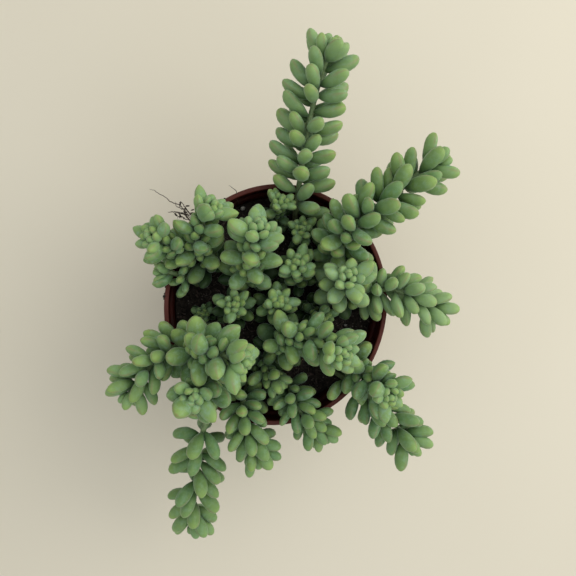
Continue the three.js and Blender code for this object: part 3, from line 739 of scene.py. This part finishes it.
def soil_material():
    r = Recipe("potting_mix", Roughness=0.93, IOR=1.3)
    kind = r.mark("kind")
    humus = r.blotches((0.008, 0.006, 0.0045), (0.036, 0.028, 0.021), 500, 6, 0.7, low=0.35)
    bark = r.blotches((0.03, 0.02, 0.016), (0.085, 0.062, 0.05), 900, 4, 0.6)
    r.colour = r.blend(r.range(kind, 0.25, 0.75), humus, bark)
    grit = r.both(r.range(r.cells(650), 0.08, 0.36, 1, 0), r.range(r.noise(230, 2), 0.45, 0.6, 0, 0.7))
    r.coat(grit, (0.15, 0.132, 0.112))
    for number, dark, pale, *scale in (
        (PERLITE, (0.2, 0.19, 0.165), (0.4, 0.385, 0.34), 1500),
        (STRAW, (0.14, 0.1, 0.05), (0.26, 0.2, 0.1), 1200),
        (FALLEN, (0.085, 0.095, 0.05), (0.2, 0.19, 0.095), 420, 4, 0.6),
        (ROOT, (0.05, 0.036, 0.029), (0.15, 0.12, 0.1), 900),
    ):
        r.coat(r.range(kind, number - 0.6, number - 0.1), r.blotches(dark, pale, *scale))
    r.set(Base_Color=r.colour, Normal=r.bump(r.noise(1600, 4, 0.7), 0.0005, 0.9))
    return r.material


def floor_material():
    r = Recipe("pale_floor", Roughness=0.75)
    r.set(Base_Color=r.blotches((0.645, 0.59, 0.46), (0.67, 0.615, 0.485), 3, 2))
    return r.material


# ---- Shoots ----

LEAF_MESH = (12, 9)  # sides and rings
BUD_MESH = (10, 6)
SHORTEST_LEAF = 6  # what is shorter is a bud, in mm
WIDEST = 0.62  # where along a leaf it is widest
ROOT_CURVE = (0.68, 0.95)  # exponents of a blunt leaf and of a pointed one
TIP_START = (2.9, 1.6)
TIP_END = (0.5, 0.8)
HOOK = 0.05  # most that a leaf curves to one side, over its length
TWIST = 0.25  # most that it turns about itself, in radians
FATNESS = (0.98, 1.1)  # its width, over the planned one
THICKNESS = (0.8, 0.92)  # its depth, over its width
UPPER_FLATNESS, LOWER_FULLNESS = 0.08, 0.06  # taken from that, and added to it
FACETS = 0.055  # how far its soft edges stand out
LENS = 0.25  # above 0 where its section is nearer a lens than an oval

STEM_SIDES = 10
STEM_STEP = 1.1  # mm from ring to ring
STEM_END = 0.6  # the last ring is further than this from the end
STEM_TIP_RADIUS = 1.15
STEM_ROUGHNESS = 0.05  # most that a corner is off, over the radius
STEM_KNOBS = (0.06, 2.1)  # height over the radius, and radians a mm

FIRST_DICE = 1000  # seed of the first shoot's random numbers
BLUSHING = 0.2  # share of leaves with a red tip
BLUSH = (0.1, 0.4)
YOUNG_LIGHT = 0.5  # how much less the youngest leaf is shaded than the oldest


def outline(t, pointed):
    """Half-width of the fine leaf along its length, as a share of its widest. Its tip is blunt to pointed."""
    root = np.sin(math.pi / 2 * np.minimum(t / WIDEST, 1)) ** mix(*ROOT_CURVE, pointed)
    ahead = np.clip((t - WIDEST) / (1 - WIDEST), 0, 1)
    return root * (1 - ahead ** mix(*TIP_START, pointed)) ** mix(*TIP_END, pointed)


def leaf_skin(leaf, sides, rings, sharpness, dice):
    """Points of one leaf from root to tip, and how far along and how far to its upper side each is."""
    s = np.arange(1, rings + 1) / (rings + 1)
    t = ((1 - np.cos(math.pi * s)) / 2)[:, None]
    turn = round_turns(sides)[None, :]
    hook, twist = dice.uniform(-HOOK, HOOK), dice.uniform(-TWIST, TWIST)
    fat, thick = dice.uniform(*FATNESS), dice.uniform(*THICKNESS)
    pointed = dice.uniform(*sharpness)
    lean = dice.uniform(0, 2 * math.pi, 2)
    facet = 1 + FACETS * np.cos(2 * turn - lean[0]) + FACETS * np.cos(3 * turn - lean[1] + 2 * t)
    half = leaf.width / 2 * outline(t, pointed) * fat * facet
    wide = half * np.cos(turn + twist * t)
    high = half * np.sin(turn + twist * t)
    depth = np.where(high > 0, thick - UPPER_FLATNESS, thick + LOWER_FULLNESS)
    high = high * np.abs(np.sin(turn + twist * t)) ** LENS * depth
    bend = leaf.up * LEAF_BEND + leaf.across * hook

    def middle(t):
        return leaf.root + leaf.out * leaf.length * t + bend * leaf.length * t * t

    ahead = unit(leaf.out + 2 * bend * t)
    up = unit(leaf.up - ahead * (ahead @ leaf.up)[:, None])
    across = np.cross(up, ahead)
    rows = middle(t)[:, None] + across[:, None] * wide[..., None] + up[:, None] * high[..., None]
    points = np.vstack([middle(0), rows.reshape(-1, 3), middle(1.0)])
    along = np.concatenate([[0], np.repeat(t[:, 0], sides), [1]])
    upper = np.concatenate([[0], np.broadcast_to(np.sin(turn), rows.shape[:2]).ravel(), [0]])
    return points, along, upper


def stem_skin(line, dice):
    """Points of a stem from its foot to its tip, how far along each one is, and the number of rings."""
    stations = np.arange(0, line.length - STEM_END, STEM_STEP)
    knobs, pace = STEM_KNOBS
    rows = []
    for distance in stations:
        point, _, side, front = line.along(distance)
        rough = dice.uniform(-STEM_ROUGHNESS, STEM_ROUGHNESS, STEM_SIDES)
        swell = 1 + knobs * math.sin(distance * pace) + rough
        radius = mix(STEM_RADIUS, STEM_TIP_RADIUS, distance / line.length) * swell
        rows.append(ring(point, side, front, STEM_SIDES, radius[:, None]))
    ends = line.along(0)[0], line.along(line.length)[0]
    shares = np.repeat(stations / line.length, STEM_SIDES)
    return np.vstack([ends[0], *rows, ends[1]]), np.concatenate([[0], shares, [1]]), len(stations)


# Shoots with paler leaves than the others, and by how much.
PALER = {"right": 1.4, "right_rosette": 1.0, "back_long": 0.6, "back_middle": 0.15, "left_front_out": 0.25}

# Where the shade is full and where it ends: mm inside the rim, and mm above the soil.
SHADE_EDGE = (14, 4)
SHADE_HEIGHT = (8, 38)


def shade_at(points):
    """Painted shade: 1 low in the pot, where the leaves lie in the shade of those above, and 0 in the plants'
    crowns and outside.
    """
    inside = 1 - step(RIM_RADIUS - SHADE_EDGE[0], RIM_RADIUS - SHADE_EDGE[1], round_radius(points))
    return inside * (1 - step(SOIL_TOP + SHADE_HEIGHT[0], SOIL_TOP + SHADE_HEIGHT[1], points[:, 2]))


def make_shoot(number, shoot, line, leaves, materials):
    """One shoot: its stem and leaves in one piece."""
    dice = np.random.RandomState(FIRST_DICE + number)
    kind, heap = kind_of(shoot), Heap()
    points, shares, rows = stem_skin(line, dice)
    heap.add(points, skin(rows, STEM_SIDES), along=0, upper=0, age=shares, shade=shade_at(points),
             tint=0.5, blush=0, crowd=0, pale=0)
    stem_faces = len(heap.faces)
    for leaf in leaves:
        sides, rings = BUD_MESH if leaf.length < SHORTEST_LEAF else LEAF_MESH
        points, along, upper = leaf_skin(leaf, sides, rings, kind.sharpness, dice)
        shade = shade_at(points) * kind.gloom * (1 - YOUNG_LIGHT * leaf.age)
        tint = dice.uniform(0, 1)
        blush = dice.uniform(*BLUSH) if dice.uniform() < BLUSHING else 0
        heap.add(points, skin(rings, sides), along=along, upper=upper, age=leaf.age, shade=shade,
                 tint=tint, blush=blush, crowd=kind.crowd, pale=PALER.get(shoot[0], 0))
    kinds = [1] * stem_faces + [0] * (len(heap.faces) - stem_faces)
    made = heap.piece("leaves_" + shoot[0], materials, kinds)
    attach(made, "root")
    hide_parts("shoot_" + shoot[0])


# ---- Pot ----

POT_TURNS = 128
CORNER_STEPS = 4
LONGEST_STEP = 5  # mm of the profile from ring to ring
HOLE_SIDES = 24
DRILL_ENDS = (-3, 4)  # heights
POT_SHARP = 35  # an edge is hard where its faces meet at more degrees than this


def rounded(corners):
    """A profile with its corners rounded. Each is a radius, a height, and how far off its rounding starts."""
    line = []
    last = len(corners) - 1
    for i, (r, z, ease) in enumerate(corners):
        here = np.array([r, z], float)
        if ease == 0 or i in (0, last):
            line.append(here)
            continue
        back = here + unit(np.array(corners[i - 1][:2]) - here) * ease
        on = here + unit(np.array(corners[i + 1][:2]) - here) * ease
        for s in np.linspace(0, 1, CORNER_STEPS + 1):
            line.append(back * (1 - s) ** 2 + 2 * here * s * (1 - s) + on * s * s)
    return np.array(line)


def split_long(line, longest):
    """The same profile with no stretch longer than that."""
    out = [line[0]]
    for a, b in zip(line, line[1:]):
        parts = max(1, math.ceil(np.linalg.norm(b - a) / longest))
        out += [mix(a, b, k / parts) for k in range(1, parts + 1)]
    return np.array(out)


def make_pot(material):
    wall_in = WALL_TOP_RADIUS - WALL
    lip_in = wall_in + LIP_STEP
    profile = rounded([
        (0, 0, 0), (BASE_RADIUS, 0, 1.6), (WALL_TOP_RADIUS, LIP_BOTTOM, 0.5),
        (LIP_BOTTOM_RADIUS, LIP_BOTTOM + 1, 0.7), (RIM_RADIUS, POT_HEIGHT, 0.8), (lip_in, POT_HEIGHT, 0.8),
        (lip_in, LIP_BOTTOM + 1, 0.6), (wall_in, LIP_BOTTOM, 0.6), (BASE_RADIUS - WALL, WALL, 1.2),
        (0, WALL, 0),
    ])
    rows = split_long(profile, LONGEST_STEP)[1:-1]
    turn = round_turns(POT_TURNS)
    rings = [np.column_stack([r * np.cos(turn), r * np.sin(turn), np.full(POT_TURNS, z)]) for r, z in rows]
    points = squeezed(np.vstack([[[0, 0, 0]], *rings, [[0, 0, WALL]]]))
    pot = piece("pot_shell", points, skin(len(rows), POT_TURNS), [material])
    low, high = DRILL_ENDS
    for i in range(DRAIN_HOLES):
        angle = i / DRAIN_HOLES * 2 * math.pi
        x, y = DRAIN_CIRCLE * math.cos(angle), DRAIN_CIRCLE * math.sin(angle)
        turns = round_turns(HOLE_SIDES)
        ring = [(x + DRAIN_RADIUS * math.cos(a), y + DRAIN_RADIUS * math.sin(a)) for a in turns]
        drill = [(x, y, low), *((*p, low) for p in ring), *((*p, high) for p in ring), (x, y, high)]
        cutter = piece("drill", drill, skin(2, HOLE_SIDES), [material])
        cut = pot.modifiers.new("drain", "BOOLEAN")
        cut.operation, cut.object, cut.solver = "DIFFERENCE", cutter, "EXACT"
        mesh = bpy.data.meshes.new_from_object(pot.evaluated_get(bpy.context.evaluated_depsgraph_get()))
        pot.modifiers.clear()
        pot.data = mesh
        bpy.data.objects.remove(cutter)
    at = np.array([v.co for v in pot.data.vertices]) / MM
    height = at[:, 2]
    # The inside of the pot, which the material darkens with painted shade and splashes with soil.
    inner = (round_radius(at) < pot_inside(height) + 0.5) & (height > WALL / 2) & (height < POT_HEIGHT - 0.3)
    dress(pot.data, {"inner": inner, "height": height / POT_HEIGHT}, POT_SHARP)
    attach(pot, "root")
    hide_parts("pot")


# ---- Soil and litter ----

SOIL_EDGE = float(pot_inside(SOIL_TOP - 2)) - GAP / 2
SOIL_SPACING = 1.15
SOIL_MARGIN = 0.7  # between the edge and the points inside it
SOIL_ROWS, SOIL_COLUMNS = 60, 55  # of points, to either side of the middle


def soil_surface(x, y):
    """Height of the crumbly surface."""
    p = Vector((x, y, 0))
    cells = noise.voronoi(p * 0.5)[0]
    lumps = min(cells[1] - cells[0], 0.7) * 1.1
    rolls = 0.7 * noise.fractal(p * 0.16, 1, 2, 3)
    return soil_height(x, y) - 0.6 + lumps + rolls + 0.25 * noise.noise(p * 1.6)


def make_soil(material):
    spots = []
    for row in range(-SOIL_ROWS, SOIL_ROWS + 1):
        y = row * SOIL_SPACING * math.sqrt(3) / 2
        for column in range(-SOIL_COLUMNS, SOIL_COLUMNS + 1):
            x = (column + row % 2 / 2) * SOIL_SPACING
            if math.hypot(x, y) < SOIL_EDGE - SOIL_MARGIN:
                spots.append(Vector((x, y)))
    edge = [Vector((math.cos(a), math.sin(a))) * SOIL_EDGE for a in round_turns(POT_TURNS)]
    flat, _, triangles, *_ = geometry.delaunay_2d_cdt(edge + spots, [], [], 0, 1e-5)
    top = [(p.x, p.y, soil_surface(p.x, p.y)) for p in flat]
    faces = [tuple(t) for t in triangles]
    around = sorted((i for i, p in enumerate(flat) if p.length > SOIL_EDGE - 0.1),
                    key=lambda i: math.atan2(flat[i].y, flat[i].x))
    low = BASE_RADIUS - WALL - GAP
    base = len(top)
    foot = [(flat[i].x / SOIL_EDGE * low, flat[i].y / SOIL_EDGE * low, WALL + GAP) for i in around]
    for k, i in enumerate(around):
        on = (k + 1) % len(around)
        faces.append((i, base + k, base + on, around[on]))
        faces.append((base + len(around), base + on, base + k))
    points = squeezed(top + foot + [(0, 0, WALL + GAP)])
    soil = piece("soil_surface", points, faces, [material], marks={"kind": np.zeros(len(points))})
    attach(soil, "root")
    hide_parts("soil")


def ball_form():
    """Corners and faces of a twenty-sided ball with each face split into four."""
    g = (1 + math.sqrt(5)) / 2
    corners = [
        Vector(np.roll((x, y * g, 0), k)).normalized() for k in range(3) for y in (1, -1) for x in (-1, 1)
    ]
    faces = [
        (0, 11, 5), (0, 5, 1), (0, 1, 7), (0, 7, 10), (0, 10, 11), (1, 5, 9), (5, 11, 4), (11, 10, 2),
        (10, 7, 6), (7, 1, 8), (3, 9, 4), (3, 4, 2), (3, 2, 6), (3, 6, 8), (3, 8, 9), (4, 9, 5), (2, 4, 11),
        (6, 2, 10), (8, 6, 7), (9, 8, 1),
    ]
    halves, split = {}, []

    def half(a, b):
        key = (min(a, b), max(a, b))
        if key not in halves:
            halves[key] = len(corners)
            corners.append((corners[a] + corners[b]).normalized())
        return halves[key]

    for a, b, c in faces:
        ab, bc, ca = half(a, b), half(b, c), half(c, a)
        split += [(a, ab, ca), (b, bc, ab), (c, ca, bc), (ab, bc, ca)]
    return np.array(corners), split


LITTER_SEED = 5
FIBRE_SIDES = 5
FIBRE_ENDS = (0.25, math.pi - 0.35)  # part of a sine wave that its radius follows
POINTS_PER_SPAN = 5  # of the path of a root in the tuft
CRUMB_ROUGHNESS = 0.2
CRUMB_TILT = 0.5  # most that it is tilted, in radians
LITTER_SHARP = 50


class Litter(Heap):
    """Many small loose things."""

    def __init__(self):
        super().__init__()
        self.dice = np.random.RandomState(LITTER_SEED)
        self.ball, self.ball_faces = ball_form()

    def crumb(self, at, size, kind, shape=(1, 1, 1)):
        """A lump of that half-size, flattened or drawn out by shape, and turned and tilted at random."""
        rough = 1 + self.dice.uniform(-CRUMB_ROUGHNESS, CRUMB_ROUGHNESS, (len(self.ball), 1))
        lump = self.ball * rough * size * np.array(shape)
        turn, tilt = self.dice.uniform(0, 2 * math.pi), self.dice.uniform(-CRUMB_TILT, CRUMB_TILT)
        spin = np.array(Matrix.Rotation(turn, 3, "Z") @ Matrix.Rotation(tilt, 3, "X"))
        self.add(lump @ spin.T + np.asarray(at), self.ball_faces, kind=kind)

    def fibre(self, path, radius, kind):
        """A thin root along a path, tapering to both ends."""
        path = np.asarray(path, float)
        ahead = unit(np.gradient(path, axis=0))
        side = unit(np.cross(ahead, (0.3, 0.2, 1)))
        front = np.cross(ahead, side)
        swell = radius * np.sin(np.linspace(*FIBRE_ENDS, len(path)))
        rows = [ring(p, s, f, FIBRE_SIDES, w) for p, s, f, w in zip(path, side, front, swell)]
        self.add(np.vstack([path[0], *rows, path[-1]]), skin(len(path), FIBRE_SIDES), kind=kind)

    def fallen_leaf(self, middle, heading, length):
        """A shrunken leaf lying flat."""
        rows, sides = 7, 10
        s = np.arange(1, rows + 1) / (rows + 1)
        turn = round_turns(sides)
        ahead = np.array([math.cos(heading), math.sin(heading), 0.12])
        beside = np.array([-math.sin(heading), math.cos(heading), 0])
        wide = 0.3 * length * outline(s, 0.5)
        crease = self.dice.uniform(-0.12, 0.12, (rows, sides)) * length * 0.12
        points = np.asarray(middle) + ahead * ((s - 0.5) * length)[:, None]
        rim = [p + np.outer(np.cos(turn) * w, beside) + np.outer(np.sin(turn) * w * 0.45 + c, (0, 0, 1))
               for p, w, c in zip(points, wide, crease)]
        ends = [np.asarray(middle) + ahead * (e * length) for e in (-0.5, 0.5)]
        self.add(np.vstack([ends[0], *rim, ends[1]]), skin(rows, sides), kind=FALLEN)


# A tuft of dry roots that hangs over the rim at the back left, and a loose root further along the back: the
# radius of each root, and the points that it passes through.
ROOT_TUFT = [
    (0.34, [(-37, 36, 78), (-40, 40, 86), (-42.6, 42.8, 92.6), (-46, 46.5, 94), (-49, 50.5, 95),
            (-53, 52, 96), (-57, 55, 97), (-61, 57.4, 97.5), (-63.6, 58.2, 97)]),
    (0.55, [(-38, 35, 78), (-41, 39, 87), (-43.4, 42, 92.7), (-46, 45.6, 93.6), (-49.5, 47.3, 93),
            (-52.6, 47.6, 92), (-55.2, 47.4, 91.6)]),
    (0.5, [(-36, 38, 78), (-39.6, 41.4, 87), (-41.8, 44, 92.6), (-44.6, 47.2, 93.5), (-47, 50.4, 94.6),
           (-48.6, 52.6, 94.2)]),
    (0.34, [(-43, 42.6, 92.6), (-46.5, 44, 94.4), (-49, 45.4, 93.8), (-50.6, 44.4, 92.4)]),
    (0.3, [(-42.5, 43.4, 92.6), (-46.5, 48, 95.4), (-50.4, 50, 94), (-51.4, 52.6, 93)]),
]
LOOSE_ROOT = (0.26, [(-19.4, 52.6, 78), (-20.4, 55, 88), (-21, 57.6, 92.7), (-22.8, 59.6, 94.4),
                     (-24.9, 60.6, 95.6)])
RIM_CRUMBS = [  # turn round the rim in degrees, height, half-size
    (168.5, 91.6, 0.75), (170.2, 91.2, 0.5), (174.6, 91.5, 0.85), (175.8, 91.0, 0.5), (173.4, 90.4, 0.45),
    (160.2, 91.7, 0.45), (118.5, 92.0, 0.5), (61.0, 92.0, 0.4), (203.5, 91.8, 0.45), (286.0, 91.9, 0.5),
]
FALLEN_LEAVES = [  # middle, heading in degrees, length
    ((26.6, 48.6, 80.4), -18, 8.2), ((23.2, 54.6, 79.6), 75, 4.8), ((26.2, 53.4, 79.9), 110, 4.6),
    ((28.6, 51.4, 79.7), 60, 4.2), ((21.4, 50.6, 79.2), 20, 5.0), ((-44.0, 26.0, 78.6), 40, 4.6),
    ((30.0, -30.5, 78.8), -60, 4.4),
]
PERLITE_GRAINS = [((-17.2, 50.6, 78.6), 1.2), ((38.0, -12.0, 78.2), 0.7), ((-46.6, 12.5, 78.0), 0.45)]
TUFT_MIDDLE = (-47.6, 47.8, 93.4)  # where the tuft is thickest
TUFT_SPREAD = (1.9, 1.9, 0.5)  # of the crumbs in it
TUFT_THINNING = 0.7  # radii in the model over those above
TUFT_UNREST = 0.22

CRUMBS = 900
CRUMB_REACH = 53.5  # from the axis, in mm
CRUMB_SIZES = (0.4, 0.95)
LARGE_CRUMBS, LARGE_CRUMB = 0.12, 1.5  # share, and size over the others
HUMUS_SHARE = 0.7
FIBRES = 130
FIBRE_REACH = 51  # where a fibre starts
FIBRE_LIMIT = 53  # and what it must stay within
FIBRE_BEND = 0.7  # most radians from step to step
FIBRE_LENGTHS = (5, 14)
FIBRE_RADII = (0.13, 0.24)
ROOT_SHARE = 0.9
TUFT_CRUMBS = 20


def wander(dice, start, heading, length, steps=12):
    """A crooked path on the soil from a start, in a heading."""
    x, y = start
    path = []
    for _ in range(steps):
        path.append((x, y, soil_surface(x, y) + 0.35))
        heading += dice.uniform(-FIBRE_BEND, FIBRE_BEND)
        x += math.cos(heading) * length / steps
        y += math.sin(heading) * length / steps
    return path


def smooth_path(points):
    """A finer path through the same points, rounded at each."""
    ends = with_ends(points)
    shares = np.arange(POINTS_PER_SPAN) / POINTS_PER_SPAN
    return np.array([spline(ends, i, w) for i in range(len(points) - 1) for w in shares] + [ends[-2]])


def scatter(dice, reach, innermost):
    """A random point within reach of the axis. innermost is the share of that area left out in the middle."""
    r, a = reach * math.sqrt(dice.uniform(innermost, 1)), dice.uniform(0, 2 * math.pi)
    return r * math.cos(a), r * math.sin(a)


def make_litter(material):
    litter = Litter()
    dice = litter.dice
    for _ in range(CRUMBS):
        x, y = scatter(dice, CRUMB_REACH, 0.01)
        size = dice.uniform(*CRUMB_SIZES) * (LARGE_CRUMB if dice.uniform() < LARGE_CRUMBS else 1)
        kind = HUMUS if dice.uniform() < HUMUS_SHARE else BARK
        shape = (1, dice.uniform(0.6, 1), dice.uniform(0.5, 0.9)) if kind == HUMUS else (1.6, 0.6, 0.4)
        litter.crumb((x, y, soil_surface(x, y) + 0.15), size, kind, shape)
    for at, size in PERLITE_GRAINS:
        litter.crumb(at, size, PERLITE)
    for _ in range(FIBRES):
        start = scatter(dice, FIBRE_REACH, 0.05)
        path = wander(dice, start, dice.uniform(0, 2 * math.pi), dice.uniform(*FIBRE_LENGTHS))
        if max(math.hypot(x, y) for x, y, _ in path) < FIBRE_LIMIT:
            litter.fibre(path, dice.uniform(*FIBRE_RADII), ROOT if dice.uniform() < ROOT_SHARE else STRAW)
    for radius, points in [*ROOT_TUFT, LOOSE_ROOT]:
        path = smooth_path(points)
        path[1:-1] += dice.uniform(-TUFT_UNREST, TUFT_UNREST, (len(path) - 2, 3))
        litter.fibre(path, radius * TUFT_THINNING, ROOT)
    for _ in range(TUFT_CRUMBS):
        at = dice.normal(TUFT_MIDDLE, TUFT_SPREAD)
        litter.crumb(at, dice.uniform(0.35, 0.8), BARK, (1.5, 0.6, 0.6))
    for turn, height, size in RIM_CRUMBS:
        angle = math.radians(turn)
        on_rim = squeezed([(RIM_RADIUS * math.cos(angle), RIM_RADIUS * math.sin(angle), height)])[0]
        litter.crumb(on_rim, size, HUMUS, (1, 1, 0.8))
    for middle, heading, length in FALLEN_LEAVES:
        litter.fallen_leaf(middle, math.radians(heading), length)
    made = litter.piece("soil_litter", [material], sharp=LITTER_SHARP)
    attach(made, "root")


# ---- Scene ----

FLOOR_SIZE = 2500  # mm from the middle to each edge
PLANT_MIDDLE = (0, 0, 0.08)


def make_floor():
    size = FLOOR_SIZE
    points = [(-size, -size, 0), (size, -size, 0), (size, size, 0), (-size, size, 0)]
    floor = piece("floor", points, [(0, 1, 2, 3)], [floor_material()])


def aim(made, at, target, up=Vector((0, 1, 0))):
    """Places a camera or light at a point, looking at a target, with up upwards in its picture."""
    back = (Vector(at) - Vector(target)).normalized()
    right = up.cross(back).normalized()
    turn = Matrix((right, back.cross(right), back)).transposed()
    made.matrix_world = Matrix.Translation(at) @ turn.to_4x4()
    bpy.context.scene.collection.objects.link(made)


def make_camera():
    data = bpy.data.cameras.new("camera")
    data.sensor_width, data.lens = 36, CAMERA_LENS
    data.clip_start = 0.01
    camera = bpy.data.objects.new("camera", data)
    aim(camera, CAMERA_AT, CAMERA_AIM)
    bpy.context.scene.camera = camera


def make_light(name, at, size, power, colour):
    data = bpy.data.lights.new(name, "AREA")
    data.shape, data.size, data.energy, data.color = "DISK", size, power, colour
    light = bpy.data.objects.new(name, data)
    aim(light, at, PLANT_MIDDLE)


def light_scene():
    make_light("window", (0.78, 0.34, 0.66), 1.2, 7.0, (1.0, 0.985, 0.955))
    make_light("ceiling", (0.25, 0.1, 1.6), 3.4, 12, (0.99, 1.0, 1.0))
    world = bpy.data.worlds.new("room_light")
    world.use_nodes = True
    sky = world.node_tree.nodes["Background"]
    sky.inputs["Color"].default_value = (0.93, 0.96, 1.0, 1)
    sky.inputs["Strength"].default_value = 0.63
    bpy.context.scene.world = world
    bpy.context.scene.view_settings.view_transform = "Standard"


make_camera()
plant_materials = [leaf_material(), stem_material()]
stem_lines, shoot_leaves = grow()
for number, (shoot, line, leaves) in enumerate(zip(SHOOTS, stem_lines, shoot_leaves)):
    make_shoot(number, shoot, line, leaves, plant_materials)
make_pot(pot_material())
ground = soil_material()
make_soil(ground)
make_litter(ground)
make_floor()
light_scene()
